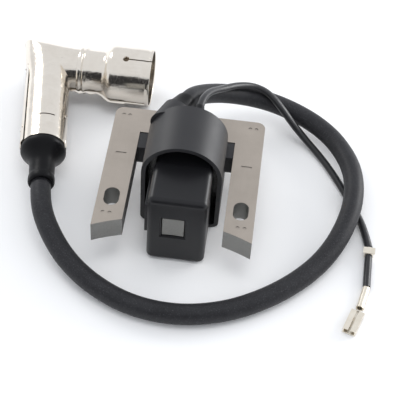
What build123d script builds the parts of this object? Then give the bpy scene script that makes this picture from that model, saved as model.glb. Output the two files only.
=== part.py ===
from build123d import *
import math
import os

# Magneto ignition coil lying on a flat surface.  Millimetres, +Z up.
# Origin: middle of the coil unit's footprint (core, coil and trigger module, without the free leads).
# -Y points to the flywheel that the three core legs face, +X to the side that the kill wire leaves on.

# ---- laminated core ----
core_half_width = 30.0
core_length = 62.6
leg_width = 11.1
yoke_depth = 12.6
core_bottom = 14.9
core_top = 24.1
flywheel_radius = 67.0
centre_leg_width = 8.2
back_corner_radius = 3.3
slot_x = 24.5
slot_y = -16.3
slot_width = 5.8
slot_length = 8.8
stake_depth = 0.25
stake_bar = (4.2, 1.1)
stake_bar_y = 6.3
dimple_radius = 0.7
dimples = ((24.0, -24.4), (26.6, -24.4), (24.2, 27.3), (26.6, 27.3))

# ---- coil housing ----
arch_x = 0.5
arch_radius = 15.5
arch_z = 27.4
housing_front = -5.7
housing_back = 17.3
housing_wall = 1.7
housing_corner = 3.0
lug_length = 8.0
lug_height = 8.6

# ---- trigger module ----
module_x = 1.2
module_width = 22.4
module_top = 34.2
module_front = -24.9
module_wall = 1.5
module_edge = 2.4
tongue_back = 3.0

# ---- leads ----
lead_radius = 4.0
lead_core_radius = 1.3
wire_radius = 1.5
bore_clearance = 0.05

# ---- plug boot ----
boot_corner = Vector(-64.2, 61.6, 12.45)
arm_angle = 8.4
neck_angle = 0.0
boot_radius = 9.1
sheet = 0.8
arm_length = 48.0
neck_length = 24.0
socket_radius = 12.2
socket_start = 15.0
socket_end = 44.2
flare_start = 24.4
flare_end = 27.4
socket_lip = 0.15
keyhole_at = 33.4
keyhole_radius = 1.4
keyhole_turn = 12
insulator_gap = 0.1
insulator_end = 27.4
plug_bore = 5.6
contact_start = 21.0
contact_end = 27.0
lead_end_in_arm = 20.0
grommet_start = 41.0
grommet_end = 67.0

core_back = core_length / 2
tip_drop = flywheel_radius - math.sqrt(flywheel_radius**2 - core_half_width**2)
centre_leg_end = -core_back + tip_drop
core_mid = (core_bottom + core_top) / 2
core_height = core_top - core_bottom
leg_inner = core_half_width - leg_width
leg_half = centre_leg_width / 2
arm_way = Vector(math.sin(math.radians(arm_angle)), -math.cos(math.radians(arm_angle)), 0)
neck_way = Vector(math.cos(math.radians(neck_angle)), math.sin(math.radians(neck_angle)), 0)
arm_frame = Plane(origin=boot_corner, x_dir=Vector(0, 0, 1), z_dir=arm_way)
neck_frame = Plane(origin=boot_corner, x_dir=Vector(0, 0, 1), z_dir=neck_way)


def along_arm(distance):
    return boot_corner + arm_way * distance


def box(x, y, z):
    """A block between the low and high values of each axis."""
    size = [b - a for a, b in (x, y, z)]
    middle = [(a + b) / 2 for a, b in (x, y, z)]
    return Pos(*middle) * Box(*size)


def ring(inner_x, inner_z, thickness, y):
    """A square-section ring round the centre leg, from y[0] to y[1]."""
    outer = box((-inner_x - thickness, inner_x + thickness), y,
                (core_mid - inner_z - thickness, core_mid + inner_z + thickness))
    return outer - box((-inner_x, inner_x), (y[0] - 1, y[1] + 1), (core_mid - inner_z, core_mid + inner_z))


def turned(points, frame=None):
    """A round piece from its (radius, height) outline, turned about its own axis."""
    face = make_face(Plane.XZ * Polyline(*points, close=True))
    piece = revolve(face, Axis.Z)
    return frame.location * piece if frame else piece


def rod(radius, start, end, frame=None):
    return turned([(0, start), (radius, start), (radius, end), (0, end)], frame)


def pipe(inner, outer, start, end, frame=None):
    return turned([(inner, start), (outer, start), (outer, end), (inner, end)], frame)


def arch(inset, y_low, y_high):
    """The arched bar: a half round on straight sides, with rounded bottom corners."""
    radius = arch_radius - inset
    corner = max(housing_corner - inset, 0.8)
    left, right, low = arch_x - radius, arch_x + radius, inset
    with BuildSketch(Plane.XZ) as outline:
        with BuildLine():
            Line((left, low), (right, low))
            Line((right, low), (right, arch_z))
            ThreePointArc((right, arch_z), (arch_x, arch_z + radius), (left, arch_z))
            Line((left, arch_z), (left, low))
        make_face()
        fillet(outline.vertices().group_by(Axis.Y)[0], corner)
    return Pos(0, y_high, 0) * extrude(outline.sketch, y_high - y_low)


# ---- the core ----
def make_core():
    flywheel = Pos(0, centre_leg_end - flywheel_radius, core_mid) * Cylinder(flywheel_radius, 3 * core_height)
    height = (core_bottom, core_top)
    core = box((-core_half_width, core_half_width), (core_back - yoke_depth, core_back), height)
    for side in (-1, 1):
        edges = sorted((side * leg_inner, side * core_half_width))
        core += box(edges, (-core_back, core_back), height)
    core += box((-leg_half, leg_half), (-core_back, core_back), height)
    corners = core.edges().filter_by(Axis.Z).group_by(Axis.Y)[-1]
    core = fillet(corners, back_corner_radius)
    core -= flywheel
    slot = extrude(SlotOverall(slot_length, slot_width, rotation=90), core_top + 1)
    bar = Box(*stake_bar, 2 * stake_depth)
    dimple = Cylinder(dimple_radius, 2 * stake_depth)
    for side in (-1, 1):
        core -= Pos(side * slot_x, slot_y, 0) * slot
        core -= Pos(side * slot_x, stake_bar_y, core_top) * bar
        for x, y in dimples:
            core -= Pos(side * x, y, core_top) * dimple
    return core


# ---- the coil ----
bobbin_y = (3.2, 12.2)
flange = 1.0
primary_inner = (leg_half + 0.3, core_height / 2 + 0.3)
bobbin_wall = 1.0
primary_build = 2.6
secondary_wall = 1.0
secondary_build = 3.0
winding_y = (bobbin_y[0] + flange, bobbin_y[1] - flange)
rib_count = 5
rib_pitch = (bobbin_y[1] - bobbin_y[0] - flange) / (rib_count - 1)
exit_turn = math.radians(22)
exit_dip = math.radians(5)
exit_level = math.cos(exit_dip)
exit_way = Vector(math.sin(exit_turn) * exit_level, math.cos(exit_turn) * exit_level, -math.sin(exit_dip))
exit_point = Vector(-7.2, housing_back, 33.4)
exit_frame = Plane(origin=exit_point, x_dir=Vector(1, 0, 0), z_dir=exit_way)
boss_radius = 6.2
boss_end = 6.2
lead_root_start = -3.0
wire_exit_x = 3.7
wire_exit_z = 37.6
step = bobbin_wall + primary_build + 0.1
second_inner = (primary_inner[0] + step, primary_inner[1] + step)
third_inner = (second_inner[0] + secondary_wall, second_inner[1] + secondary_wall)
along_wire = Pos(wire_exit_x, housing_back, wire_exit_z) * Rot(-90, 0, 0)
coil_reach = (third_inner[0] + secondary_build + 0.2, third_inner[1] + secondary_build + 0.2)


def make_primary_bobbin():
    bobbin = ring(*primary_inner, bobbin_wall, bobbin_y)
    for y in (bobbin_y[0], bobbin_y[1] - flange):
        bobbin += ring(*primary_inner, bobbin_wall + primary_build, (y, y + flange))
    return bobbin


def make_primary_winding():
    return ring(primary_inner[0] + bobbin_wall, primary_inner[1] + bobbin_wall, primary_build, winding_y)


def make_secondary_bobbin():
    bobbin = ring(*second_inner, secondary_wall, bobbin_y)
    for number in range(rib_count):
        y = bobbin_y[0] + number * rib_pitch
        bobbin += ring(*second_inner, secondary_wall + secondary_build + 0.2, (y, y + flange))
    return bobbin


def make_secondary_winding():
    """The fine wire lies in the four chambers between the bobbin's ribs."""
    chambers = []
    for number in range(rib_count - 1):
        y = bobbin_y[0] + number * rib_pitch
        chambers.append(ring(*third_inner, secondary_build, (y + flange, y + rib_pitch)))
    return Compound(children=chambers)


def leg_passage(y_low, y_high):
    gap = 0.15
    return box((-leg_half - gap, leg_half + gap), (y_low, y_high), (core_bottom - gap, core_top + gap))


def make_housing():
    shell = arch(0, housing_front, housing_back)
    shell -= arch(housing_wall, housing_front - 1, housing_back - housing_wall)
    for side in (-1, 1):
        edge = arch_x + side * (arch_radius - 0.4)
        edges = sorted((edge, side * (leg_inner - 0.1)))
        lug_y = (core_back - yoke_depth - 0.3 - lug_length, core_back - yoke_depth - 0.3)
        shell += box(edges, lug_y, (core_top - lug_height, core_top - 0.2))
    shell -= leg_passage(housing_front, housing_back + 1)
    boss = rod(boss_radius, -6, boss_end, exit_frame)
    shell += boss - box((-20, 20), (0, housing_back - housing_wall), (0, 50))
    shell -= rod(lead_radius + bore_clearance, lead_root_start - 1.0, boss_end + 1, exit_frame)
    shell -= along_wire * rod(wire_radius + bore_clearance, -10, 1)
    return shell


def make_lead_root():
    return rod(lead_radius, lead_root_start, boss_end, exit_frame)


def make_high_voltage_pin():
    """The brass spike at the coil's output, which pierces the end of the lead."""
    head, spike = lead_root_start - 0.8, lead_root_start + 3.5
    outline = [(0, head), (2.0, head), (2.0, head + 0.7), (0.8, head + 0.7), (0.8, spike - 1), (0, spike)]
    return turned(outline, exit_frame)


def make_potting():
    body = arch(housing_wall + 0.02, tongue_back + 0.02, housing_back - housing_wall - 0.02)
    coil_z = (core_mid - coil_reach[1], core_mid + coil_reach[1])
    body -= box((-coil_reach[0], coil_reach[0]), bobbin_y, coil_z)
    body -= leg_passage(0, housing_back)
    body -= rod(lead_radius + bore_clearance, lead_root_start - 0.85, boss_end, exit_frame)
    return body


# ---- the trigger module ----
module_left = module_x - module_width / 2
module_right = module_x + module_width / 2
leg_hole = (leg_half + 0.35, core_height / 2 + 0.35)
board_z = 26.6
board_thickness = 1.2
parts_y = (-21.5, -5.0)


def leg_tunnel(y_low, y_high, extra=0.0):
    return box((-leg_hole[0] - extra, leg_hole[0] + extra), (y_low, y_high),
               (core_mid - leg_hole[1] - extra, core_mid + leg_hole[1] + extra))


def make_module_case():
    nose = box((module_left, module_right), (module_front, housing_front - 0.1), (0, module_top))
    edges = nose.edges().group_by(Axis.Y)[0]
    edges += nose.edges().filter_by(Axis.Y)
    nose = fillet(edges, module_edge)
    tongue = box((module_left + 0.4, module_right - 0.4), (housing_front - 1, tongue_back),
                 (housing_wall + 0.3, module_top - 0.4))
    tongue = fillet(tongue.edges().filter_by(Axis.Y), module_edge - 0.4)
    case = nose + tongue
    rib = box((module_left - 1.2, module_left + 1), (module_front + 3, housing_front - 1.5), (13.0, 28.0))
    case += rib
    wall = module_wall
    cavity = box((module_left + wall, module_right - wall), (module_front + wall, tongue_back + 1),
                 (wall + 0.4, module_top - wall - 0.4))
    cavity -= leg_tunnel(module_front, tongue_back + 2, 0.9)
    case -= cavity
    case -= leg_tunnel(module_front - 1, tongue_back + 1)
    recess = box((-leg_hole[0] - 0.5, leg_hole[0] + 0.5), (module_front - 1, module_front + 0.4),
                 (core_mid - leg_hole[1] - 0.5, core_mid + leg_hole[1] + 0.5))
    return case - recess


def make_board():
    inset = module_wall + 0.2
    return box((module_left + inset, module_right - inset), parts_y, (board_z, board_z + board_thickness))


def make_thyristor():
    """A flat-faced three-legged package standing on the board."""
    z = board_z + board_thickness
    body = Pos(6.5, -17.5, z + 1.6) * Cylinder(2.3, 2.8)
    body &= box((2, 10), (-18.9, -12), (z, z + 4))
    for number in (-1, 0, 1):
        body += Pos(6.5 + 1.27 * number, -17.2, z + 0.15) * Box(0.5, 0.4, 0.3)
    return body


def make_diode():
    z = board_z + board_thickness
    body = Pos(-5.2, -17.0, z + 1.3) * Rot(0, 90, 0) * Cylinder(1.3, 4.6)
    return body + Pos(-5.2, -17.0, z + 1.3) * Rot(0, 90, 0) * Cylinder(0.35, 6.4)


def make_resistor(y):
    z = board_z + board_thickness
    body = Pos(-4.6, y, z + 1.15) * Rot(0, 90, 0) * Cylinder(1.1, 5.6)
    return body + Pos(-4.6, y, z + 1.15) * Rot(0, 90, 0) * Cylinder(0.3, 7.6)


def make_capacitor():
    """The charging capacitor, a wound film block under the centre leg."""
    return fillet(box((-6.0, 9.0), (-20.0, -8.0), (3.2, 11.8)).edges().filter_by(Axis.Y), 1.6)


def make_trigger_coil():
    return ring(leg_hole[0] + 1.0, leg_hole[1] + 1.0, 0.55, (-20.0, -8.0))


def make_module_potting(inner_parts):
    wall = module_wall + 0.02
    body = box((module_left + wall, module_right - wall), (module_front + wall, tongue_back - 0.02),
               (wall + 0.42, module_top - wall - 0.42))
    body -= leg_tunnel(module_front - 1, tongue_back + 1, 0.92)
    for piece in inner_parts:
        body -= piece
    return body


# ---- the free leads ----
def cord_path(points, name):
    """Straight runs joined by tangent arcs, each as large as its two runs allow."""
    runs = [b - a for a, b in zip(points, points[1:])]
    radii = []
    for before, after in zip(runs, runs[1:]):
        turn = math.radians(before.get_angle(after))
        radii.append(0.45 * min(before.length, after.length) / math.tan(turn / 2))
    print(name, "arc radii:", [round(r, 1) for r in radii])
    print(name, "runs:", [round(r.length, 1) for r in runs])
    return FilletPolyline(*points, radius=radii)


def cord_tube(points, radius, name):
    path = cord_path(points, name)
    start = Plane(origin=points[0], z_dir=points[1] - points[0])
    tube = sweep(start * Circle(radius), path=path)
    expected = math.pi * radius**2 * path.length
    print(name, "length", round(path.length, 1), "volume ratio", round(tube.volume / expected, 4))
    return tube


exit_run = 8.0
grommet_run = 9.5

lead_points = [
    exit_point + exit_way * boss_end,
    exit_point + exit_way * (boss_end + exit_run),
    Vector(0.8, 38.6, 28.4),
    Vector(9.6, 49.0, 21.0),
    Vector(20.6, 55.2, 15.0),
    Vector(31.2, 57.2, 11.2),
    Vector(42.1, 55.6, 8.3),
    Vector(52.2, 50.8, 6.6),
    Vector(60.6, 42.6, 6.0),
    Vector(67.4, 27.5, 7.6),
    Vector(68.6, 10.4, 8.6),
    Vector(65.2, -4.6, 6.6),
    Vector(59.0, -17.8, 4.6),
    Vector(50.0, -29.4, 4.0),
    Vector(38.4, -39.8, 4.0),
    Vector(23.6, -48.6, 4.0),
    Vector(6.0, -53.0, 4.0),
    Vector(-11.6, -51.2, 4.0),
    Vector(-26.6, -44.4, 4.3),
    Vector(-38.6, -35.6, 6.2),
    Vector(-47.2, -25.4, 9.6),
    along_arm(grommet_end + grommet_run),
    along_arm(grommet_end),
]

wire_points = [
    Vector(wire_exit_x, housing_back, wire_exit_z),
    Vector(wire_exit_x, 25.5, wire_exit_z),
    Vector(6.2, 35.5, 34.0),
    Vector(11.0, 44.0, 28.2),
    Vector(17.0, 51.6, 24.0),
    Vector(23.4, 56.0, 20.4),
    Vector(29.8, 55.6, 17.8),
    Vector(35.8, 51.6, 14.0),
    Vector(41.2, 48.6, 8.4),
    Vector(47.2, 45.2, 3.6),
    Vector(53.0, 39.8, 1.6),
    Vector(59.0, 31.0, 1.5),
    Vector(64.6, 20.8, 1.5),
    Vector(69.6, 11.0, 1.5),
    Vector(73.8, 1.0, 1.6),
    Vector(75.8, -8.6, 1.85),
]


# ---- what is on the kill wire's end ----
clip_start = Vector(75.8, -8.6, 1.85)
sleeve_end = Vector(75.4, -27.6, 1.5)
barrel_end = Vector(73.2, -37.6, 1.5)
blade_end = Vector(69.5, -49.0, 1.5)


def aimed(start, end):
    return Plane(origin=start, x_dir=Vector(0, 0, 1), z_dir=end - start)


def make_wire_clip():
    """A thin metal band whose two wings are folded over the wire."""
    frame = aimed(clip_start, sleeve_end)
    band = pipe(wire_radius, wire_radius + 0.3, 0.3, 3.6)
    wings = Pos(wire_radius + 0.15, 0, 2.0) * Box(0.4, 4.6, 3.0)
    wings -= rod(wire_radius, -1, 5)
    return frame.location * (band + wings)


def make_wire_sleeve():
    frame = aimed(clip_start, sleeve_end)
    length = (sleeve_end - clip_start).length
    return frame.location * rod(wire_radius, 0, length - 0.2)


def make_terminal_barrel():
    frame = aimed(sleeve_end, barrel_end)
    length = (barrel_end - sleeve_end).length
    return frame.location * pipe(wire_radius - 0.5, wire_radius, 0.2, length)


def make_terminal():
    """A female push-on receptacle: flat floor with two rolled edges."""
    frame = aimed(barrel_end, blade_end)
    length = (blade_end - barrel_end).length
    floor = Pos(-1.1, 0, length / 2 + 0.4) * Box(0.5, 5.0, length - 0.8)
    for side in (-1, 1):
        floor += Pos(0.1, side * 2.3, length / 2 + 1.2) * Box(2.6, 0.5, length - 2.4)
        floor += Pos(1.25, side * 1.5, length / 2 + 1.2) * Box(0.5, 2.1, length - 2.4)
    return frame.location * floor


# ---- the plug boot ----
def elbow_solid(radius, arm_end, neck_end):
    solid = rod(radius, 0, arm_end, arm_frame)
    solid += rod(radius, 0, neck_end, neck_frame)
    return solid + Pos(*boot_corner) * Sphere(radius)


def make_elbow_shield():
    shell = elbow_solid(boot_radius, arm_length, neck_length)
    return shell - elbow_solid(boot_radius - sheet, arm_length + 1, neck_length + 1)


def make_socket_shield():
    """The barrel that grips the plug's hexagon, flared from the neck, with a keyhole slot."""
    inner, outer = boot_radius + 0.02, boot_radius + 0.02 + sheet
    big = socket_radius
    outline = [(inner, socket_start), (outer, socket_start), (outer, flare_start), (big, flare_end),
               (big, socket_end - 2.0), (big + socket_lip, socket_end - 1.4), (big + socket_lip, socket_end),
               (big - sheet, socket_end), (big - sheet, flare_end + 0.3), (inner, flare_start + 0.3)]
    shell = turned(outline)
    shell -= Pos(big, 0, keyhole_at) * Rot(0, 90, 0) * Cylinder(keyhole_radius, 8)
    shell -= box((big - 4, big + 4), (-0.35, 0.35), (keyhole_at, socket_end + 1))
    return neck_frame.location * (Rot(0, 0, keyhole_turn) * shell)


def make_grommet():
    inner = lead_radius + bore_clearance
    plug = boot_radius - sheet - insulator_gap
    outline = [(inner, grommet_start), (plug, grommet_start), (plug, arm_length),
               (boot_radius - 0.4, arm_length), (boot_radius, arm_length + 1.6),
               (boot_radius - 0.2, arm_length + 3.2), (6.8, arm_length + 7.0),
               (5.2, arm_length + 9.6), (5.05, 62.5), (5.4, 64.0), (5.4, 66.2), (4.9, grommet_end),
               (inner, grommet_end)]
    return turned(outline, arm_frame)


inner_radius = boot_radius - sheet - insulator_gap


def make_insulator():
    body = elbow_solid(inner_radius, grommet_start - 0.2, neck_length)
    body += rod(inner_radius - 0.4, neck_length, insulator_end, neck_frame)
    body -= rod(lead_radius + bore_clearance, lead_end_in_arm - 0.5, 45.0, arm_frame)
    body -= rod(2.2, -1.0, lead_end_in_arm, arm_frame)
    body -= rod(3.2, -1.0, contact_start, neck_frame)
    body -= rod(plug_bore, contact_start, 45.0, neck_frame)
    return body


def make_lead_screw():
    """The pointed screw that is driven into the lead's core."""
    return turned([(0, 5.0), (1.9, 5.0), (1.9, 7.0), (1.0, 7.0), (1.0, 26.0), (0, 29.0)], arm_frame)


def make_resistor_rod():
    return rod(3.1, 4.6, 17.0, neck_frame)


def make_contact_spring():
    """Coil spring, shown as the tube that it fills, between resistor and plug contact."""
    return pipe(2.2, 3.1, 17.0, contact_start, neck_frame)


def make_plug_contact():
    """The brass cup that snaps on the plug's terminal."""
    outline = [(0, contact_start), (5.4, contact_start), (5.4, contact_end), (4.9, contact_end),
               (4.9, contact_start + 0.8), (0, contact_start + 0.8)]
    return turned(outline, neck_frame)


def make_lead_tail():
    """The lead's last stretch, inside the boot."""
    tail = rod(lead_radius, lead_end_in_arm, grommet_end, arm_frame)
    return tail - make_lead_screw()


board_parts = [make_board(), make_thyristor(), make_diode(), make_resistor(-12.6), make_resistor(-8.6)]
module_parts = board_parts + [make_capacitor(), make_trigger_coil()]

nodes = {
    "core_laminations": make_core(),
    "coil_housing": make_housing(),
    "primary_bobbin": make_primary_bobbin(),
    "primary_winding": make_primary_winding(),
    "secondary_bobbin": make_secondary_bobbin(),
    "secondary_winding": make_secondary_winding(),
    "coil_potting": make_potting(),
    "high_voltage_pin": make_high_voltage_pin(),
    "lead_root": make_lead_root() - make_high_voltage_pin(),
    "module_case": make_module_case(),
    "circuit_board": make_board(),
    "thyristor": make_thyristor(),
    "diode": make_diode(),
    "trigger_resistor": make_resistor(-12.6),
    "gate_resistor": make_resistor(-8.6),
    "charge_capacitor": make_capacitor(),
    "trigger_coil": make_trigger_coil(),
    "module_potting": make_module_potting(module_parts),
    "high_voltage_lead": cord_tube(lead_points, lead_radius, "high_voltage_lead"),
    "kill_wire": cord_tube(wire_points, wire_radius, "kill_wire"),
    "wire_clip": make_wire_clip(),
    "wire_sleeve": make_wire_sleeve(),
    "terminal_barrel": make_terminal_barrel(),
    "kill_terminal": make_terminal(),
    "elbow_shield": make_elbow_shield(),
    "socket_shield": make_socket_shield(),
    "boot_grommet": make_grommet(),
    "boot_insulator": make_insulator(),
    "lead_tail": make_lead_tail(),
    "lead_screw": make_lead_screw(),
    "suppressor_resistor": make_resistor_rod(),
    "contact_spring": make_contact_spring(),
    "plug_contact": make_plug_contact(),
}

os.makedirs("parts", exist_ok=True)
for name, solid in nodes.items():
    export_step(solid, f"parts/{name}.step")
    print(name, round(solid.volume, 1), [round(v, 2) for v in tuple(solid.bounding_box().min)],
          [round(v, 2) for v in tuple(solid.bounding_box().max)])
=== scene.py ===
import bpy
import math
from mathutils import Matrix, Vector


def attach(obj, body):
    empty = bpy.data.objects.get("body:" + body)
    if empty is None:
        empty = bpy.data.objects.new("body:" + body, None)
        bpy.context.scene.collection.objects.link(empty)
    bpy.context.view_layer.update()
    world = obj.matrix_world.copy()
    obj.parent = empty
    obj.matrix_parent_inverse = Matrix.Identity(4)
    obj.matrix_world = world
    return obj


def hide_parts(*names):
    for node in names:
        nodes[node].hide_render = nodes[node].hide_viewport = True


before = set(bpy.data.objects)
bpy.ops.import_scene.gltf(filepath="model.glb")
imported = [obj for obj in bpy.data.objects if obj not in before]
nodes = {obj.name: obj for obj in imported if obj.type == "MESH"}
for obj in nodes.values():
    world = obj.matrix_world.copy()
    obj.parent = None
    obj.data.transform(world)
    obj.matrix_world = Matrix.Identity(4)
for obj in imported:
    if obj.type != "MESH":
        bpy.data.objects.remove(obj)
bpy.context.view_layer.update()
mm = 0.001
print("frame loaded:", len(nodes), "nodes")

# helpers
def spin(degrees, axis):
    return Matrix.Rotation(math.radians(degrees), 4, axis)


def clearSelection():
    if bpy.context.object and bpy.context.object.mode != "OBJECT":
        bpy.ops.object.mode_set(mode="OBJECT")
    bpy.ops.object.select_all(action="DESELECT")


def pick(piece):
    clearSelection()
    piece.select_set(True)
    bpy.context.view_layer.objects.active = piece


def linked(name, data):
    made = bpy.data.objects.new(name, data)
    bpy.context.scene.collection.objects.link(made)
    return made


def startEdit(piece, kind="VERT"):
    pick(piece)
    bpy.ops.object.mode_set(mode="EDIT")
    bpy.ops.mesh.select_mode(type=kind)
    bpy.ops.mesh.select_all(action="DESELECT")


def applied(piece, kind, **settings):
    pick(piece)
    modifier = piece.modifiers.new(kind.lower(), kind)
    for name, value in settings.items():
        setattr(modifier, name, value)
    bpy.ops.object.modifier_apply(modifier=modifier.name)


# camera: its place in metres, its turns in degrees
cameraFacts = {
    "place": (0.02756, -0.32194, 0.38009),
    "turn": 3.5,
    "tilt": 41.0,
    "roll": 4.2,
    "lens": 112.5,
    "sensor": 36,
    "clip": (0.01, 20),
}


def makeCamera(facts):
    data = bpy.data.cameras.new("studioCamera")
    data.lens = facts["lens"]
    data.sensor_width = facts["sensor"]
    data.clip_start, data.clip_end = facts["clip"]
    camera = linked("studioCamera", data)
    aim = spin(facts["turn"], "Z") @ spin(facts["tilt"], "X") @ spin(facts["roll"], "Z")
    camera.matrix_world = Matrix.Translation(facts["place"]) @ aim
    bpy.context.scene.camera = camera


makeCamera(cameraFacts)

# where the free cords and the boot stand, in millimetres, as the CAD has them
exitFacts = {"point": (-7.2, 17.3, 33.4), "turn": 22.0, "dip": 5.0, "boss": 6.2, "run": 8.0}
bootFacts = {
    "corner": (-64.2, 61.6, 12.45),
    "armTurn": 8.4,
    "neckTurn": 0.0,
    "grommet": 67.0,
    "straight": 9.5,
}
exitTurn = math.radians(exitFacts["turn"])
exitDip = math.radians(exitFacts["dip"])
exitLevel = math.cos(exitDip)
exitWay = Vector((math.sin(exitTurn) * exitLevel, math.cos(exitTurn) * exitLevel, -math.sin(exitDip)))
exitPoint = Vector(exitFacts["point"])
bootCorner = Vector(bootFacts["corner"])
armAngle = math.radians(bootFacts["armTurn"])
neckAngle = math.radians(bootFacts["neckTurn"])
armWay = Vector((math.sin(armAngle), -math.cos(armAngle), 0))
neckWay = Vector((math.cos(neckAngle), math.sin(neckAngle), 0))


# cords: each route is a NURBS curve's control points
leadFacts = {
    "radius": 4.0,
    "around": 40,
    "length": 306.0,
    "route": [
        exitPoint + exitWay * exitFacts["boss"],
        exitPoint + exitWay * (exitFacts["boss"] + exitFacts["run"]),
        (0.8, 38.6, 28.4), (9.6, 49.0, 21.0), (20.6, 55.2, 15.0), (31.2, 57.2, 11.2), (42.1, 55.6, 8.3),
        (52.2, 50.8, 6.6), (60.6, 42.6, 6.0), (67.4, 27.5, 7.6), (68.6, 10.4, 8.6), (65.2, -4.6, 6.6),
        (59.0, -17.8, 4.6), (50.0, -29.4, 4.0), (38.4, -39.8, 4.0), (23.6, -48.6, 4.0), (6.0, -53.0, 4.0),
        (-11.6, -51.2, 4.0), (-26.6, -44.4, 4.3), (-38.6, -35.6, 6.2), (-47.2, -25.4, 9.6),
        bootCorner + armWay * (bootFacts["grommet"] + bootFacts["straight"]),
        bootCorner + armWay * bootFacts["grommet"],
    ],
}
wireFacts = {
    "radius": 1.5,
    "around": 16,
    "half": 1.55,
    "thick": 1.35,
    "swell": {"middle": 0.50, "spread": 0.10, "half": 0.35, "thick": 0.1},
    "twist": 50,
    "length": 142.7,
    "route": [
        (3.7, 17.3, 37.6), (3.7, 25.5, 37.6), (6.2, 35.5, 34.0), (11.0, 44.0, 28.2), (17.0, 51.6, 24.0),
        (23.4, 56.0, 20.4), (29.8, 55.6, 17.8), (35.8, 51.6, 14.0), (41.2, 48.6, 8.4), (47.2, 45.2, 3.6),
        (53.0, 39.8, 1.6), (59.0, 31.0, 1.5), (64.6, 20.8, 1.5), (69.6, 11.0, 1.5), (73.8, 1.0, 1.6),
        (75.8, -8.6, 1.85),
    ],
}


def routeLine(route, name):
    curve = bpy.data.curves.new(name, "CURVE")
    curve.dimensions = "3D"
    curve.resolution_u = 12
    spline = curve.splines.new("NURBS")
    spline.points.add(len(route) - 1)
    for point, place in zip(spline.points, route):
        point.co = (*(Vector(place) * mm), 1)
    spline.order_u = 3
    spline.use_endpoint_u = True
    guide = linked(name, curve)
    bpy.context.view_layer.update()
    line = bpy.data.meshes.new_from_object(guide)
    places = [v.co.copy() for v in line.vertices]
    bpy.data.meshes.remove(line)
    bpy.data.objects.remove(guide)
    return places


def ringAt(place, way, side, half, thick, around):
    up = side.cross(way)
    ring = []
    for number in range(around):
        angle = 2 * math.pi * number / around
        ring.append(place + side * (half * math.cos(angle)) + up * (thick * math.sin(angle)))
    return ring


def tubeAlong(name, places, shape, around):
    # shape(share) gives half width, half thickness and twist in degrees
    points = []
    faces = []
    total = len(places)
    side = None
    for number, place in enumerate(places):
        before = places[max(number - 1, 0)]
        after = places[min(number + 1, total - 1)]
        way = (after - before).normalized()
        flat = Vector((0, 0, 1)).cross(way)
        side = flat.normalized() if side is None else (side - way * side.dot(way)).normalized()
        half, thick, twist = shape(number / (total - 1))
        turned = Matrix.Rotation(math.radians(twist), 3, way) @ side
        points += ringAt(place, way, turned, half * mm, thick * mm, around)
    for row in range(total - 1):
        for number in range(around):
            near = row * around + number
            beside = row * around + (number + 1) % around
            faces.append((near, beside, beside + around, near + around))
    faces.append(tuple(range(around - 1, -1, -1)))
    faces.append(tuple(range((total - 1) * around, total * around)))
    mesh = bpy.data.meshes.new(name)
    mesh.from_pydata([tuple(p) for p in points], [], faces)
    mesh.update()
    startEdit(linked(name, mesh))
    bpy.ops.mesh.select_all(action="SELECT")
    bpy.ops.mesh.normals_make_consistent(inside=False)
    bpy.ops.object.mode_set(mode="OBJECT")
    bpy.ops.object.shade_smooth()
    return bpy.context.object


def leadShape(share):
    return leadFacts["radius"], leadFacts["radius"], 0


leadPlaces = routeLine(leadFacts["route"], "leadGuide")
leadLine = tubeAlong("highVoltageLead", leadPlaces, leadShape, leadFacts["around"])
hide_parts("high_voltage_lead")
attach(leadLine, "coil_unit")
leadFacts["route"][0] * mm
leadFacts["length"] * mm
leadFacts["radius"] * 2 * mm


# the kill wire lies in a loose glossy sleeve, which is widest in the middle of its way
def sleeveShape(share):
    swell = wireFacts["swell"]
    fullness = math.exp(-((share - swell["middle"]) / swell["spread"]) ** 2)
    half = wireFacts["half"] + swell["half"] * fullness
    thick = wireFacts["thick"] + swell["thick"] * fullness
    return half, thick, wireFacts["twist"] * share


wirePlaces = routeLine(wireFacts["route"], "wireGuide")
killWire = tubeAlong("killWire", wirePlaces, sleeveShape, wireFacts["around"])
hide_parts("kill_wire")
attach(killWire, "coil_unit")
print("cords made")


# materials
class Shade:
    # wraps one socket, so that sums on it add Math nodes
    def __init__(self, tree, socket=None):
        self.tree = tree
        self.socket = socket

    def node(self, kind, inputs=None, out=0, **settings):
        made = self.tree.nodes.new("ShaderNode" + kind)
        for name, value in settings.items():
            setattr(made, name, value)
        for name, value in (inputs or {}).items():
            if isinstance(value, Shade):
                self.tree.links.new(value.socket, made.inputs[name])
            else:
                made.inputs[name].default_value = value
        return Shade(self.tree, made.outputs[out])

    def maths(self, operation, first, second=0.0):
        return self.node("Math", {0: first, 1: second}, operation=operation)

    def __add__(self, other):
        return self.maths("ADD", self, other)

    def __radd__(self, other):
        return self.maths("ADD", other, self)

    def __rsub__(self, other):
        return self.maths("SUBTRACT", other, self)

    def __mul__(self, other):
        return self.maths("MULTIPLY", self, other)

    def __truediv__(self, other):
        return self.maths("DIVIDE", self, other)

    def above(self, limit, soft):
        # 0 below the limit, 1 above it, over a soft edge
        ends = {0: self, 1: limit - soft, 2: limit + soft, 3: 0.0, 4: 1.0}
        return self.node("MapRange", ends, clamp=True)

    def mix(self, low, high):
        # a colour from low to high by this value
        def full(colour):
            return colour if isinstance(colour, Shade) else (*colour, 1)

        return self.node("Mix", {0: self, 6: full(low), 7: full(high)}, out=2, data_type="RGBA")

    def absolute(self):
        return self.maths("ABSOLUTE", self)


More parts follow.
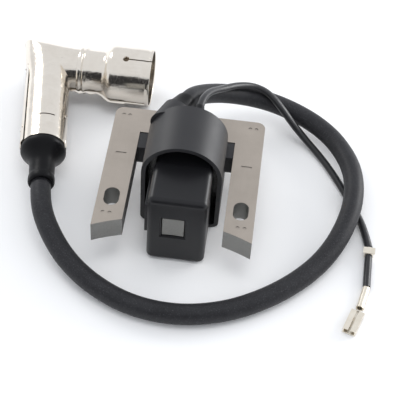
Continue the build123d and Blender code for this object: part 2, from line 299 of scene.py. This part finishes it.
class Finish:
    # one material with a principled shader, read in millimetres on the object
    def __init__(self, name, **values):
        self.material = bpy.data.materials.new(name)
        self.material.use_nodes = True
        self.tree = self.material.node_tree
        self.tree.nodes.clear()
        self.shader = self.tree.nodes.new("ShaderNodeBsdfPrincipled")
        output = self.tree.nodes.new("ShaderNodeOutputMaterial")
        self.tree.links.new(self.shader.outputs[0], output.inputs["Surface"])
        self.any = Shade(self.tree)
        place = self.any.node("TexCoord", out="Object")
        self.place = self.any.node("VectorMath", {0: place, "Scale": 1 / mm}, operation="SCALE")
        self.facing = self.any.node("TexCoord", out="Normal")
        for name, value in values.items():
            self.set(name, value)

    def set(self, name, value):
        socket = self.shader.inputs[name.replace("_", " ")]
        if isinstance(value, Shade):
            self.tree.links.new(value.socket, socket)
        elif hasattr(value, "__len__"):
            socket.default_value = (*value, 1)
        else:
            socket.default_value = value

    def noise(self, scale, detail=4.0, stretch=(1, 1, 1), roughness=0.55, distortion=0.0, turn=(0, 0, 0)):
        place = self.place
        if tuple(stretch) != (1, 1, 1) or any(turn):
            angles = tuple(math.radians(a) for a in turn)
            place = self.any.node("Mapping", {"Vector": place, "Scale": stretch, "Rotation": angles})
        values = {"Vector": place, "Scale": scale, "Detail": detail}
        values.update({"Roughness": roughness, "Distortion": distortion})
        return self.any.node("TexNoise", values, noise_dimensions="3D")

    def axis(self, letter, source=None):
        made = self.tree.nodes.new("ShaderNodeSeparateXYZ")
        self.tree.links.new((source or self.place).socket, made.inputs[0])
        return Shade(self.tree, made.outputs[letter])

    def bump(self, height, strength, distance=0.1):
        # the distance is in millimetres
        values = {"Height": height, "Strength": strength, "Distance": distance * mm}
        self.set("Normal", self.any.node("Bump", values))


def makeCoreSteel():
    finish = Finish("coreSteel", Metallic=0.85)
    cloud = finish.noise(0.09, 5, roughness=0.6)
    grain = finish.noise(1.6, 3, stretch=(1, 0.06, 1))
    up = finish.axis("Z", finish.facing).absolute().above(0.6, 0.1)
    height = finish.axis("Z") * 2.0
    sheets = finish.any.maths("PINGPONG", height, 0.5) * 2.0
    seams = sheets.above(0.34, 0.3)
    top = (cloud * 0.75 + grain * 0.25).mix((0.37, 0.325, 0.28), (0.54, 0.483, 0.425))
    edge = (seams * (0.55 + grain * 0.45)).mix((0.12, 0.12, 0.115), (0.50, 0.495, 0.47))
    finish.set("Base Color", up.mix(edge, top))
    finish.set("Roughness", 0.36 + grain * 0.16 + (1 - up) * 0.14)
    finish.bump((grain * 0.35 + cloud * 0.4) * up + (seams * 1.4) * (1 - up), 0.35, 0.12)
    return finish.material


plasticFacts = {
    "housing": {
        "low": (0.011, 0.011, 0.012),
        "high": (0.024, 0.024, 0.027),
        "rough": 0.38,
        "grain": 2.6,
        "bump": 0.30,
        "specular": 0.50,
    },
    "module": {
        "low": (0.006, 0.006, 0.007),
        "high": (0.014, 0.014, 0.016),
        "rough": 0.24,
        "grain": 3.4,
        "bump": 0.14,
        "specular": 0.34,
    },
}


def makeBlackPlastic(name, facts):
    finish = Finish(name)
    cloud = finish.noise(0.11, 4)
    pores = finish.noise(facts["grain"], 3)
    finish.set("Base Color", (cloud * 0.6 + pores * 0.4).mix(facts["low"], facts["high"]))
    finish.set("Roughness", facts["rough"] + cloud * 0.14 + pores * 0.08)
    finish.bump(pores * 0.8 + cloud * 0.5, facts["bump"], 0.08)
    finish.set("Specular_IOR_Level", facts["specular"])
    return finish.material


def makeNickel():
    finish = Finish("bootNickel", Metallic=1.0)
    cloud = finish.noise(0.14, 4, distortion=0.6)
    draw = finish.noise(1.1, 3, stretch=(0.25, 1, 1), turn=(0, 0, 8))
    speck = finish.noise(2.2, 5).above(0.66, 0.04)
    clean = (cloud * 0.7 + draw * 0.3).mix((0.76, 0.69, 0.60), (0.94, 0.89, 0.81))
    # surfaces that face down are painted darker brown-grey: painted shade on the underside
    paintedUnderShade = 1 - finish.axis("Z", finish.facing).above(-0.05, 0.45)
    colour = (paintedUnderShade * 0.8).mix(clean, (0.34, 0.31, 0.28))
    finish.set("Base Color", (speck * 0.4).mix(colour, (0.45, 0.41, 0.36)))
    finish.set("Roughness", 0.10 + cloud * 0.12 + speck * 0.2)
    finish.bump(cloud * 1.0 + draw * 0.18, 0.28, 0.5)
    return finish.material


def makeTinnedBrass():
    finish = Finish("tinnedBrass", Metallic=0.9)
    cloud = finish.noise(0.35, 4)
    grain = finish.noise(3.0, 3)
    finish.set("Base Color", (cloud * 0.7 + grain * 0.3).mix((0.72, 0.645, 0.52), (0.97, 0.92, 0.82)))
    finish.set("Roughness", 0.24 + cloud * 0.2)
    finish.bump(grain * 0.5 + cloud, 0.25, 0.08)
    return finish.material


def makeLeadRubber():
    finish = Finish("leadRubber")
    cloud = finish.noise(0.16, 5, roughness=0.65)
    blotch = finish.noise(0.9, 4, roughness=0.6)
    # the pale flecks are dust and also painted sheen on the rubber
    dustAndSheen = finish.noise(2.4, 5).above(0.63, 0.07)
    tone = (cloud * 0.5 + blotch * 0.5).mix((0.003, 0.003, 0.004), (0.036, 0.036, 0.040))
    finish.set("Base Color", (dustAndSheen * 0.6).mix(tone, (0.085, 0.085, 0.092)))
    finish.set("Roughness", 0.38 + blotch * 0.22 + dustAndSheen * 0.1)
    finish.set("Specular_IOR_Level", 0.28)
    finish.bump(blotch * 0.9 + cloud * 0.6, 0.4, 0.25)
    return finish.material


def makeSleeving():
    finish = Finish("wireSleeving")
    cloud = finish.noise(0.3, 4)
    ripple = finish.noise(1.0, 2)
    finish.set("Base Color", (cloud * 0.7 + ripple * 0.3).mix((0.006, 0.006, 0.007), (0.022, 0.022, 0.025)))
    finish.set("Roughness", 0.24 + cloud * 0.2)
    finish.bump(ripple + cloud * 0.5, 0.3, 0.2)
    return finish.material


def makeGrommetRubber():
    finish = Finish("grommetRubber")
    cloud = finish.noise(0.14, 4)
    pores = finish.noise(1.7, 4)
    finish.set("Base Color", (cloud * 0.6 + pores * 0.4).mix((0.002, 0.002, 0.0025), (0.006, 0.006, 0.007)))
    finish.set("Roughness", 0.26 + cloud * 0.2 + pores * 0.08)
    finish.set("Specular_IOR_Level", 0.16)
    finish.bump(pores * 0.7 + cloud, 0.3, 0.15)
    return finish.material


def makeInner(name, low, high, rough, metallic, scale, stretch=(1, 1, 1)):
    finish = Finish(name, Metallic=metallic)
    cloud = finish.noise(scale, 4, stretch=stretch)
    fine = finish.noise(scale * 6, 3)
    finish.set("Base Color", (cloud * 0.75 + fine * 0.25).mix(low, high))
    finish.set("Roughness", rough + cloud * 0.15)
    finish.bump(cloud + fine * 0.3, 0.2, 0.1)
    return finish.material


def makeWinding(name, pitch):
    # turns of enamelled wire round the leg, side by side along Y
    finish = Finish(name, Metallic=0.8)
    turns = finish.any.maths("PINGPONG", finish.axis("Y") / pitch, 0.5) * 2.0
    cloud = finish.noise(0.6, 4)
    finish.set("Base Color", (turns * 0.7 + cloud * 0.3).mix((0.16, 0.045, 0.015), (0.72, 0.27, 0.09)))
    finish.set("Roughness", 0.25 + cloud * 0.15)
    finish.bump(turns, 0.6, 0.1)
    return finish.material


finishes = {
    "core": makeCoreSteel(),
    "housing": makeBlackPlastic("housingPlastic", plasticFacts["housing"]),
    "module": makeBlackPlastic("modulePlastic", plasticFacts["module"]),
    "nickel": makeNickel(),
    "brass": makeInner("contactBrass", (0.46, 0.29, 0.10), (0.86, 0.62, 0.27), 0.22, 1.0, 0.4),
    "tinned": makeTinnedBrass(),
    "lead": makeLeadRubber(),
    "sleeving": makeSleeving(),
    "grommet": makeGrommetRubber(),
    "bobbin": makeInner("bobbinNylon", (0.50, 0.44, 0.32), (0.72, 0.65, 0.50), 0.45, 0.0, 0.3),
    "primary": makeWinding("primaryWinding", 0.5),
    "secondary": makeWinding("secondaryWinding", 0.12),
    "trigger": makeWinding("triggerWinding", 0.2),
    "potting": makeInner("pottingResin", (0.008, 0.008, 0.008), (0.03, 0.028, 0.026), 0.16, 0.0, 0.25),
    "board": makeInner("boardLaminate", (0.03, 0.13, 0.05), (0.08, 0.26, 0.10), 0.4, 0.0, 0.8, (1, 0.2, 1)),
    "enamel": makeInner("resistorEnamel", (0.45, 0.30, 0.16), (0.66, 0.50, 0.30), 0.3, 0.0, 0.7),
    "film": makeInner("capacitorFilm", (0.40, 0.10, 0.03), (0.62, 0.20, 0.06), 0.2, 0.0, 0.4),
    "insulator": makeInner("insulatorResin", (0.05, 0.035, 0.025), (0.12, 0.08, 0.055), 0.3, 0.0, 0.3),
    "ceramic": makeInner("ceramicBody", (0.62, 0.60, 0.56), (0.84, 0.82, 0.78), 0.3, 0.0, 0.4),
    "spring": makeInner("springSteel", (0.34, 0.34, 0.35), (0.66, 0.66, 0.68), 0.25, 1.0, 0.6),
}
nodeFinish = {
    "core_laminations": "core",
    "coil_housing": "housing",
    "primary_bobbin": "bobbin",
    "primary_winding": "primary",
    "secondary_bobbin": "bobbin",
    "secondary_winding": "secondary",
    "coil_potting": "potting",
    "high_voltage_pin": "brass",
    "lead_root": "lead",
    "module_case": "module",
    "circuit_board": "board",
    "thyristor": "module",
    "diode": "module",
    "trigger_resistor": "enamel",
    "gate_resistor": "enamel",
    "charge_capacitor": "film",
    "trigger_coil": "trigger",
    "module_potting": "potting",
    "high_voltage_lead": "lead",
    "kill_wire": "sleeving",
    "wire_clip": "tinned",
    "wire_sleeve": "sleeving",
    "terminal_barrel": "tinned",
    "kill_terminal": "tinned",
    "elbow_shield": "nickel",
    "socket_shield": "nickel",
    "boot_grommet": "grommet",
    "boot_insulator": "insulator",
    "lead_tail": "lead",
    "lead_screw": "brass",
    "suppressor_resistor": "ceramic",
    "contact_spring": "spring",
    "plug_contact": "brass",
}


def paint(piece, finishName):
    slots = piece.data.materials
    if len(slots):
        for number in range(len(slots)):
            slots[number] = finishes[finishName]
    else:
        slots.append(finishes[finishName])


for nodeName, finishName in nodeFinish.items():
    paint(nodes[nodeName], finishName)
paint(leadLine, "lead")
paint(killWire, "sleeving")
print("materials made:", len(finishes))


# rounded copies of the CAD nodes that show, because a moulded or stamped edge is never sharp
softFacts = {
    "core_laminations": {"name": "coreStack", "width": 0.22, "segments": 2},
    "coil_housing": {"name": "coilShell", "width": 0.30, "segments": 3},
    "module_case": {"name": "moduleShell", "width": 0.30, "segments": 2},
}
edgeFacts = {"weld": 0.000004, "flat": 1.0, "sharp": 32, "smooth": 40}


def softened(nodeName, facts):
    piece = linked(facts["name"], nodes[nodeName].data.copy())
    startEdit(piece)
    bpy.ops.mesh.select_all(action="SELECT")
    bpy.ops.mesh.remove_doubles(threshold=edgeFacts["weld"])
    bpy.ops.mesh.dissolve_limited(angle_limit=math.radians(edgeFacts["flat"]))
    bpy.ops.object.mode_set(mode="OBJECT")
    applied(piece, "BEVEL", width=facts["width"] * mm, segments=facts["segments"], limit_method="ANGLE",
            angle_limit=math.radians(edgeFacts["sharp"]))
    bpy.ops.object.shade_smooth_by_angle(angle=math.radians(edgeFacts["smooth"]))
    applied(piece, "WEIGHTED_NORMAL", keep_sharp=True, weight=100)
    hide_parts(nodeName)
    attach(piece, "coil_unit")
    paint(piece, nodeFinish[nodeName])


for nodeName, facts in softFacts.items():
    softened(nodeName, facts)
for nodeName in ("wire_clip", "terminal_barrel", "kill_terminal", "wire_sleeve", "lead_tail", "plug_contact",
                 "boot_insulator"):
    pick(nodes[nodeName])
    bpy.ops.object.shade_smooth_by_angle(angle=math.radians(35))
print("edges rounded")


# frames for round pieces: the local Z runs along the piece, the local X points up
def alongFrame(origin, way):
    up = Vector((0, 0, 1))
    up = (up - way * up.dot(way)).normalized()
    turned = Matrix((up, way.cross(up), way)).transposed()
    return Matrix.Translation(Vector(origin) * mm) @ turned.to_4x4()


armFrame = alongFrame(bootCorner, armWay)
neckFrame = alongFrame(bootCorner, neckWay)


def placed(piece, place, body, finishName, smooth):
    # the frame goes into the mesh, so the object stays at the origin
    pick(piece)
    piece.matrix_world = place
    bpy.ops.object.transform_apply(location=True, rotation=True, scale=True)
    bpy.ops.object.shade_smooth_by_angle(angle=math.radians(smooth))
    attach(piece, body)
    paint(piece, finishName)
    return piece


weldGap = 0.000005


def startPoint(name, place):
    # a plane drawn together to one corner, left selected in edit mode
    clearSelection()
    bpy.ops.mesh.primitive_plane_add(size=0.001, location=(0, 0, 0))
    piece = bpy.context.object
    piece.name = name
    bpy.ops.object.mode_set(mode="EDIT")
    bpy.ops.mesh.select_mode(type="VERT")
    bpy.ops.mesh.select_all(action="SELECT")
    bpy.ops.mesh.merge(type="CENTER")
    bpy.ops.transform.translate(value=place)
    return piece


def outlinePiece(name, outline):
    # one corner drawn out along an outline of (radius, distance) points, in the XZ plane
    start = outline[0]
    piece = startPoint(name, (start[0] * mm, 0, start[1] * mm))
    for before, after in zip(outline, outline[1:]):
        step = ((after[0] - before[0]) * mm, 0, (after[1] - before[1]) * mm)
        bpy.ops.mesh.extrude_region_move(TRANSFORM_OT_translate={"value": step})
    return piece


def turnedPiece(name, outline, steps):
    piece = outlinePiece(name, [*outline, outline[0]])
    bpy.ops.mesh.select_all(action="SELECT")
    bpy.ops.mesh.spin(steps=steps, angle=math.radians(360), center=(0, 0, 0), axis=(0, 0, 1))
    bpy.ops.mesh.select_all(action="SELECT")
    bpy.ops.mesh.remove_doubles(threshold=weldGap)
    bpy.ops.mesh.normals_make_consistent(inside=False)
    bpy.ops.object.mode_set(mode="OBJECT")
    return piece


def cutAway(piece, cutter):
    applied(piece, "BOOLEAN", operation="DIFFERENCE", object=cutter, solver="EXACT")
    bpy.data.objects.remove(cutter)


def block(size, place, name):
    clearSelection()
    bpy.ops.mesh.primitive_cube_add(size=1, location=[v * mm for v in place], scale=[v * mm for v in size])
    made = bpy.context.object
    made.name = name
    bpy.ops.object.transform_apply(location=True, rotation=True, scale=True)
    return made


# the elbow: two drawn tubes mitred into each other, crease sharp inside the bend and round outside
elbowFacts = {
    "radius": 9.1,
    "armEnd": 48.0,
    "neckEnd": 15.2,
    "sheet": 0.7,
    "outerRound": 5.6,
    "innerRound": 0.5,
    "sides": 80,
    "rings": (-1.5, 1.5, 4.5, 7.5, 10.5),
    "roundShare": 1.45,
    "runOn": 1.6,
    "bulge": (-2.2, 1.5, 0.4),
    "bulgeFrom": 8.2,
    "bulgeReach": 18.0,
    "slit": {"along": 36.6, "width": 0.55, "half": 3.6, "shift": 0.8},
}


def sliced(piece, point, normal, **sides):
    pick(piece)
    bpy.ops.object.mode_set(mode="EDIT")
    bpy.ops.mesh.select_all(action="SELECT")
    bpy.ops.mesh.bisect(plane_co=[v * mm for v in point], plane_no=normal, **sides)
    bpy.ops.object.mode_set(mode="OBJECT")


def dropFaces(piece, test):
    startEdit(piece, "FACE")
    bpy.ops.object.mode_set(mode="OBJECT")
    for face in piece.data.polygons:
        face.select = test(face.center / mm)
    bpy.ops.object.mode_set(mode="EDIT")
    bpy.ops.mesh.delete(type="FACE")
    bpy.ops.object.mode_set(mode="OBJECT")


def drawnTube(facts, way, end, turn, keepInner):
    # about the corner: a tube that runs on past the corner until it is mitred
    reach = facts["radius"] * facts["runOn"]
    middle = (end - reach) / 2
    clearSelection()
    bpy.ops.mesh.primitive_cylinder_add(vertices=facts["sides"], radius=facts["radius"] * mm,
                                        end_fill_type="NOTHING", depth=(end + reach) * mm,
                                        location=way * (middle * mm), rotation=turn)
    tube = bpy.context.object
    bpy.ops.object.transform_apply(location=True, rotation=True, scale=True)
    sliced(tube, (0, 0, 0), mitreWay, clear_outer=keepInner, clear_inner=not keepInner)
    for spot in facts["rings"]:
        sliced(tube, way * spot, way)
    return tube


mitreWay = (neckWay - armWay).normalized()
outerWay = -(neckWay + armWay).normalized()


def makeElbow(facts):
    arm = drawnTube(facts, armWay, facts["armEnd"], (math.radians(90), 0, armAngle), True)
    neck = drawnTube(facts, neckWay, facts["neckEnd"], (0, math.radians(90), neckAngle), False)
    clearSelection()
    arm.select_set(True)
    neck.select_set(True)
    bpy.context.view_layer.objects.active = arm
    bpy.ops.object.join()
    elbow = arm
    elbow.name = "bootElbow"
    startEdit(elbow)
    bpy.ops.mesh.select_all(action="SELECT")
    bpy.ops.mesh.remove_doubles(threshold=0.00002)
    bpy.ops.mesh.normals_make_consistent(inside=False)
    bpy.ops.object.mode_set(mode="OBJECT")
    weights = elbow.data.attributes.new("bevel_weight_edge", "FLOAT", "EDGE")
    fullRound = facts["roundShare"] * facts["radius"] * mm
    spread = facts["outerRound"] - facts["innerRound"]
    for edge in elbow.data.edges:
        ends = [elbow.data.vertices[v].co for v in edge.vertices]
        if all(abs(p.dot(mitreWay)) < 0.00001 for p in ends):
            share = max(0.0, (ends[0] + ends[1]).dot(outerWay) / 2 / fullRound)
            weights.data[edge.index].value = (facts["innerRound"] + spread * share) / facts["outerRound"]
    applied(elbow, "BEVEL", width=facts["outerRound"] * mm, segments=6, limit_method="WEIGHT")
    # the corner's outer side is drawn out a little
    startEdit(elbow)
    bpy.ops.object.mode_set(mode="OBJECT")
    for point in elbow.data.vertices:
        point.select = point.co.dot(outerWay) > facts["bulgeFrom"] * mm
    bpy.ops.object.mode_set(mode="EDIT")
    bpy.ops.transform.translate(value=[v * mm for v in facts["bulge"]], use_proportional_edit=True,
                                proportional_edit_falloff="SMOOTH",
                                proportional_size=facts["bulgeReach"] * mm)
    bpy.ops.object.mode_set(mode="OBJECT")
    slit = facts["slit"]
    across = Vector((0, 0, 1)).cross(armWay)
    low, high = slit["along"], slit["along"] + slit["width"]
    left, right = slit["shift"] - slit["half"], slit["shift"] + slit["half"]
    for spot, normal in ((armWay * low, armWay), (armWay * high, armWay), (across * left, across),
                         (across * right, across)):
        sliced(elbow, spot, normal)
    dropFaces(elbow, lambda c: low < c.dot(armWay) < high and left < c.dot(across) < right and c.z > 0)
    applied(elbow, "SOLIDIFY", thickness=facts["sheet"] * mm, offset=-1.0)
    return elbow


bootElbow = placed(makeElbow(elbowFacts), Matrix.Translation(bootCorner * mm), "boot", "nickel", 28)
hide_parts("elbow_shield")

# the arm's folded seam: a dark strip painted as the shadow in its gap, with the sheet's turned edge lying
# over it
seamFacts = {
    "from": -3.0,
    "to": 47.6,
    "start": 57,
    "end": 99,
    "thick": 0.3,
    "round": 0.08,
    "strip": {"name": "seamStrip", "lift": 0.32, "past": 0.0, "pastTurn": 0.0, "finish": "nickel"},
    "gap": {"name": "seamGapShadow", "lift": 0.05, "past": 0.22, "pastTurn": 1.32, "finish": "grommet"},
}


# in the arm's frame the angles run from the top towards the outer side of the bend
def seamBand(facts, part):
    radius = (elbowFacts["radius"] + part["lift"]) * mm
    low, high = facts["from"] - part["past"], facts["to"] + part["past"]
    start, end = facts["start"] - part["pastTurn"], facts["end"] + part["pastTurn"]
    first = math.radians(start)
    band = startPoint(part["name"], (radius * math.cos(first), radius * math.sin(first), low * mm))
    bpy.ops.mesh.extrude_region_move(TRANSFORM_OT_translate={"value": (0, 0, (high - low) * mm)})
    bpy.ops.mesh.select_all(action="SELECT")
    bpy.ops.mesh.spin(steps=14, angle=math.radians(start - end), center=(0, 0, 0), axis=(0, 0, 1))
    bpy.ops.object.mode_set(mode="OBJECT")
    applied(band, "SOLIDIFY", thickness=facts["thick"] * mm, offset=0.0)
    applied(band, "BEVEL", width=facts["round"] * mm, segments=2, limit_method="ANGLE")
    placed(band, armFrame, "boot", part["finish"], 30)


# a near-black strip a little wider than the seam, as painted shadow in the gap
seamBand(seamFacts, seamFacts["gap"])
seamBand(seamFacts, seamFacts["strip"])

# small lanced teeth that hold the sheet's edges, and pointed ones that grip the grommet
toothFacts = {
    "lift": 0.35,
    "round": 0.07,
    "taper": (0.25, 1, 0.4),
    "kinds": {
        "lancedTooth": {
            "size": (0.9, 1.9, 0.5),
            "slant": 0.35,
            "spots": [(-2.2, -66, 30), (-38.6, -68, 30), (-33.6, 66, -25), (-1.6, -88, 20), (-37.4, -92, 20)],
        },
        "gripTooth": {"size": (1.7, 2.0, 0.4), "slant": -0.3, "spots": [(-47.6, -76, 0), (-47.9, 72, 0)]},
    },
}


def makeTooth(name, size, slant):
    # a small tapered block, one end drawn to a point and leaning out
    tooth = block(size, (0, 0, 0), name)
    startEdit(tooth, "FACE")
    bpy.ops.object.mode_set(mode="OBJECT")
    for face in tooth.data.polygons:
        face.select = face.normal.y < -0.9
    bpy.ops.object.mode_set(mode="EDIT")
    step = (0, -0.5 * size[1] * mm, slant * mm)
    bpy.ops.mesh.extrude_region_move(TRANSFORM_OT_translate={"value": step})
    bpy.ops.transform.resize(value=toothFacts["taper"])
    bpy.ops.object.mode_set(mode="OBJECT")
    applied(tooth, "BEVEL", width=toothFacts["round"] * mm, segments=1, limit_method="ANGLE")
    return tooth


def toothPlace(along, angle, turn):
    # how far along the arm, how far round it from the top, and the tooth's own turn
    corner = Matrix.Translation(bootCorner * mm) @ Matrix.Rotation(armAngle, 4, "Z")
    spot = Matrix.Translation((0, along * mm, 0)) @ spin(angle, "Y")
    out = Matrix.Translation((0, 0, (elbowFacts["radius"] + toothFacts["lift"]) * mm))
    return corner @ spot @ out @ spin(turn, "Z")


for kind, facts in toothFacts["kinds"].items():
    for number, spot in enumerate(facts["spots"]):
        tooth = makeTooth(f"{kind}{number + 1}", facts["size"], facts["slant"])
        placed(tooth, toothPlace(*spot), "boot", "nickel", 30)

# the plug socket: beads at its root, a flare, the gripping barrel with its keyhole and a rolled lip
socketFacts = {
    "outline": [(9.15, 13.0), (9.45, 13.1), (9.75, 13.6), (9.85, 14.1), (9.72, 14.6), (9.38, 14.95),
                (9.38, 15.2), (9.72, 15.5), (9.85, 15.9), (9.75, 16.4), (9.42, 16.9), (9.22, 17.6),
                (9.18, 20.0), (9.2, 23.6), (9.45, 24.4), (10.3, 25.2), (11.2, 26.0), (11.85, 26.8),
                (12.12, 27.6), (12.2, 28.6), (12.2, 41.8), (12.05, 42.3), (12.05, 42.7), (12.3, 43.2),
                (12.35, 43.7), (12.25, 44.1), (11.9, 44.2), (11.5, 43.9), (11.45, 28.6), (11.3, 27.8),
                (10.5, 26.6), (9.4, 25.6), (8.6, 24.6), (8.42, 23.6), (8.42, 13.0)],
    "steps": 88,
    "keyhole": {"place": (12, 0, 33.4), "radius": 1.3, "depth": 8},
    "slit": {"place": (12, 0, 40.6), "size": (8, 0.55, 14)},
    "turn": 12,
}


def makeSocket(facts):
    socket = turnedPiece("bootSocket", facts["outline"], facts["steps"])
    keyhole = facts["keyhole"]
    clearSelection()
    bpy.ops.mesh.primitive_cylinder_add(vertices=28, radius=keyhole["radius"] * mm,
                                        depth=keyhole["depth"] * mm,
                                        location=[v * mm for v in keyhole["place"]],
                                        rotation=(0, math.radians(90), 0))
    hole = bpy.context.object
    bpy.ops.object.transform_apply(location=True, rotation=True, scale=True)
    cutAway(socket, hole)
    cutAway(socket, block(facts["slit"]["size"], facts["slit"]["place"], "slitBlock"))
    return socket


bootSocket = makeSocket(socketFacts)
placed(bootSocket, neckFrame @ spin(socketFacts["turn"], "Z"), "boot", "nickel", 32)
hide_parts("socket_shield")

# the folded seam under the neck and the barrel, with a scalloped edge that narrows to the lip
flangeFacts = {
    "outline": [(8.8, 9.6), (9.9, 9.8), (10.3, 11.0), (9.9, 12.1), (10.4, 13.3), (10.9, 14.6),
                (10.4, 16.0), (10.0, 17.4), (10.6, 18.8), (10.5, 20.2), (9.9, 21.4), (10.2, 22.6),
                (10.9, 24.0), (12.0, 25.4), (12.9, 27.0), (13.2, 28.6), (13.2, 33.8), (12.7, 34.6),
                (12.6, 42.2), (12.0, 42.8), (11.9, 27.8), (10.2, 25.6), (9.0, 24.4), (8.8, 23.0)],
    "thick": 0.55,
    "round": 0.1,
    "turn": 112,
}


def makeFlange(facts):
    flange = outlinePiece("seamFlange", [*facts["outline"], facts["outline"][0]])
    bpy.ops.mesh.select_all(action="SELECT")
    bpy.ops.mesh.remove_doubles(threshold=weldGap)
    bpy.ops.mesh.select_all(action="SELECT")
    bpy.ops.mesh.edge_face_add()
    bpy.ops.object.mode_set(mode="OBJECT")
    applied(flange, "SOLIDIFY", thickness=facts["thick"] * mm, offset=0.0)
    applied(flange, "BEVEL", width=facts["round"] * mm, segments=2, limit_method="ANGLE")
    return flange


placed(makeFlange(flangeFacts), neckFrame @ spin(flangeFacts["turn"], "Z"), "boot", "nickel", 30)

# the rubber grommet at the arm's mouth
grommetFacts = {
    "outline": [(4.1, 41.0), (8.1, 41.0), (8.1, 47.0), (8.55, 47.6), (8.95, 48.3), (9.1, 49.2),
                (9.08, 50.3), (8.75, 51.0), (8.0, 52.0), (7.0, 53.2), (6.1, 54.5), (5.5, 55.7),
                (5.2, 56.9), (5.1, 58.4), (5.05, 60.6), (5.0, 62.6), (5.05, 63.2), (5.25, 63.7),
                (5.32, 64.4), (5.32, 65.6), (5.2, 66.4), (4.95, 66.85), (4.6, 67.0), (4.15, 66.9),
                (4.05, 66.4)],
    "steps": 72,
}
bootGrommet = turnedPiece("bootGrommet", grommetFacts["outline"], grommetFacts["steps"])
placed(bootGrommet, armFrame, "boot", "grommet", 50)
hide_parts("boot_grommet")

# tapered rubber collars where the lead and the kill wire leave the housing
reliefFacts = {
    "leadRelief": {
        "outline": [(4.05, 5.4), (5.6, 5.4), (5.75, 6.0), (5.7, 6.7), (5.4, 7.6), (5.1, 9.0),
                    (4.85, 10.6), (4.6, 12.4), (4.4, 13.6), (4.25, 14.0), (4.05, 14.0)],
        "steps": 56,
        "frame": alongFrame(exitPoint, exitWay),
    },
    "wireRelief": {
        "outline": [(1.5, -0.6), (2.7, -0.6), (2.75, 0.3), (2.6, 1.0), (2.3, 2.4), (2.05, 4.0),
                    (1.9, 5.2), (1.7, 5.6), (1.5, 5.6)],
        "steps": 40,
        "frame": alongFrame(wireFacts["route"][0], Vector((0, 1, 0))),
    },
}
for name, facts in reliefFacts.items():
    placed(turnedPiece(name, facts["outline"], facts["steps"]), facts["frame"], "coil_unit", "grommet", 50)
print("boot and collars made")

# studio
studioFacts = {
    "floor": {"size": 6, "drop": 0.0002, "tone": 0.975, "fibre": 1.01},
    "world": {"tone": (0.93, 0.955, 1.0), "power": 0.88},
    "aim": (0, 0, 0.01),
    "boxes": {
        "leftBox": {"place": (-0.56, 0.57, 0.40), "size": (0.2, 0.42), "power": 1.4, "tone": (1, 0.99, 0.97)},
        "rightBox": {"place": (0.72, 0.46, 0.24), "size": (0.5, 0.4), "power": 4.4, "tone": (1, 1, 1)},
        "topBox": {"place": (0.05, -0.10, 0.95), "size": (0.45, 0.35), "power": 1.6, "tone": (1, 1, 1)},
    },
    "unreflected": "topBox",
    "screen": {"place": (0.0, -0.75, 0.34), "size": (1.9, 0.80)},
}


def makeFloor(facts):
    clearSelection()
    bpy.ops.mesh.primitive_plane_add(size=facts["size"], location=(0, 0, -facts["drop"]))
    floor = bpy.context.object
    floor.name = "studioFloor"
    tone = facts["tone"]
    paler = tone * facts["fibre"]
    finish = Finish("floorPaper", Roughness=0.9)
    finish.set("Base Color", finish.noise(0.02, 3).mix((tone, tone, tone), (paler, paler, paler)))
    floor.data.materials.append(finish.material)


def makeWorld(facts):
    world = bpy.data.worlds.new("studioWorld")
    bpy.context.scene.world = world
    world.use_nodes = True
    back = world.node_tree.nodes.get("Background") or world.node_tree.nodes.new("ShaderNodeBackground")
    back.inputs[0].default_value = (*facts["tone"], 1)
    back.inputs[1].default_value = facts["power"]


def softBox(name, facts):
    data = bpy.data.lights.new(name, "AREA")
    data.shape = "RECTANGLE"
    data.size, data.size_y = facts["size"]
    data.energy = facts["power"]
    data.color = facts["tone"]
    light = linked(name, data)
    way = Vector(studioFacts["aim"]) - Vector(facts["place"])
    light.location = facts["place"]
    light.rotation_mode = "QUATERNION"
    light.rotation_quaternion = way.to_track_quat("-Z", "Y")
    light.visible_glossy = name != studioFacts["unreflected"]


def darkScreen(name, facts):
    # a dark card that only reflections see, as the unlit part of a studio
    clearSelection()
    bpy.ops.mesh.primitive_plane_add(size=1, location=facts["place"], rotation=(math.radians(90), 0, 0))
    screen = bpy.context.object
    screen.name = name
    screen.dimensions = (*facts["size"], 0)
    for ray in ("camera", "diffuse", "shadow", "transmission", "volume_scatter"):
        setattr(screen, f"visible_{ray}", False)
    finish = Finish(name, Roughness=1.0)
    weave = finish.noise(0.05, 2)
    finish.set("Base Color", weave.mix((0.01, 0.01, 0.011), (0.02, 0.02, 0.022)))
    screen.data.materials.append(finish.material)


makeFloor(studioFacts["floor"])
makeWorld(studioFacts["world"])
darkScreen("frontScreen", studioFacts["screen"])
for name, facts in studioFacts["boxes"].items():
    softBox(name, facts)
bpy.context.scene.view_settings.view_transform = "Standard"
bpy.context.scene.view_settings.look = "None"
print("studio made")

bpy.context.view_layer.update()
